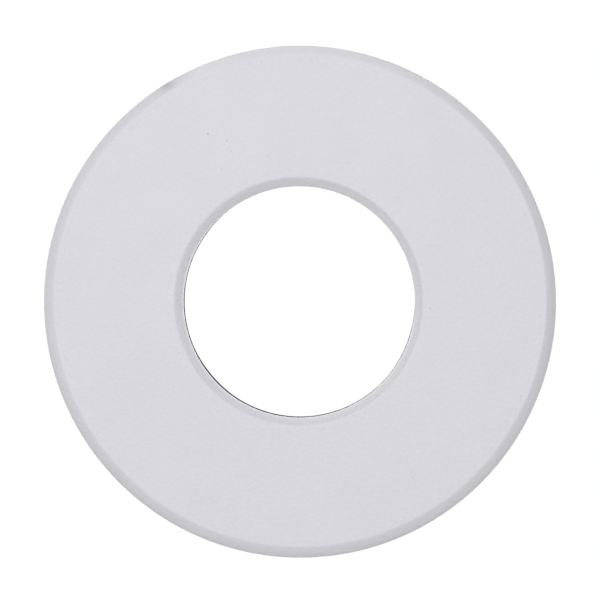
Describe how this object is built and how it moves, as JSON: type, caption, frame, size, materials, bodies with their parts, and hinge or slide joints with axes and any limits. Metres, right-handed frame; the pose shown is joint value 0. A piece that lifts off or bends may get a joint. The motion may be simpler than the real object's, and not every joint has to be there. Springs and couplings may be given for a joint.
{
  "type": "fire sprinkler trim ring",
  "caption": "White pressed-steel trim ring for a ceiling fire sprinkler: flat round face, sloped outer and inner edges, central hole, and a foam gasket in the hollow back.",
  "frame": {"origin": "centre of the hole, in the ceiling plane that the backs of both rims lie in", "axes": "+Z along the ring's axis, out of the visible face and down into the room; X and Y lie in the ceiling plane and are free, because the ring is round"},
  "size_m": [0.127, 0.127, 0.004],
  "materials": {
    "white_powder_coat": "satin",
    "charcoal_foam": "matte"
  },
  "bodies": {
    "root": {"trim_ring": "white_powder_coat", "foam_gasket": "charcoal_foam"}
  },
  "joints": []
}
